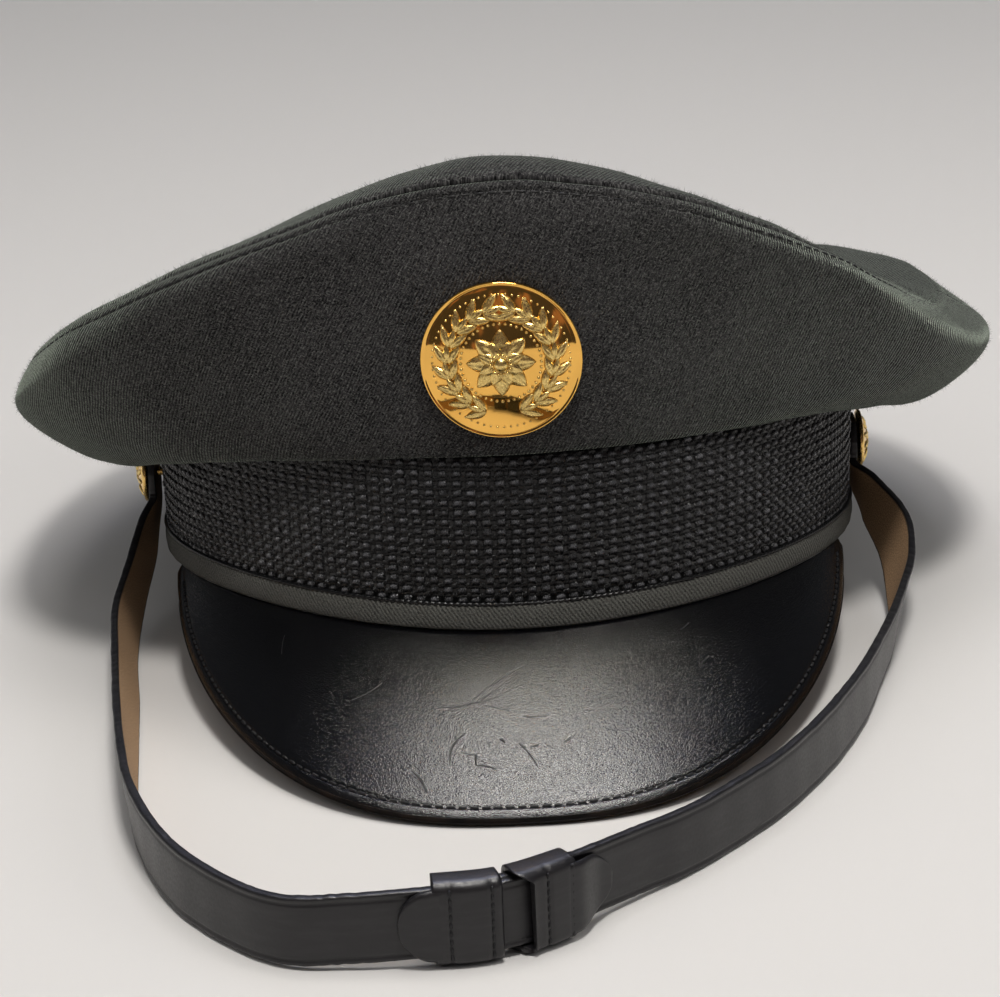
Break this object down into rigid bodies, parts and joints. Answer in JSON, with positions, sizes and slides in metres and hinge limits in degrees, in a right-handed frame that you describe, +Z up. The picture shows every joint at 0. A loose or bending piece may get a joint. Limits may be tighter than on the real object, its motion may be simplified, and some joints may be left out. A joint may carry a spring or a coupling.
{
  "type": "peaked cap",
  "caption": "Wool service cap with a braid band, black leather peak, gilt badge and side buttons, resting on its band with its chin strap laid in a loop in front.",
  "frame": {"origin": "middle of the footprint of the cap with its laid-out strap, on the surface it rests on", "axes": "+Z up, -Y towards the peak's front, +X towards the wearer's left"},
  "size_m": [0.259, 0.3614, 0.1381],
  "materials": {
    "crown_cloth": "fuzzy wool twill, dark green-grey",
    "band_braid": "woven black braid",
    "welt_cloth": "dark twill",
    "peak_leather": "polished black, lightly scuffed",
    "strap_leather": "smooth black with a brown flesh side",
    "gilt": "polished gilt with a satin relief",
    "plain_brass": "plain"
  },
  "bodies": {
    "root": {"crown_top": "crown_cloth", "crown_side_front": "crown_cloth", "crown_side_back": "crown_cloth", "band": "band_braid", "welt": "welt_cloth", "peak": "peak_leather", "badge": "gilt", "badge_nut": "plain_brass", "button_left": "gilt", "button_right": "gilt", "strap_left": "strap_leather", "strap_right": "strap_leather", "keeper_left": "strap_leather", "keeper_right": "strap_leather"}
  },
  "joints": []
}
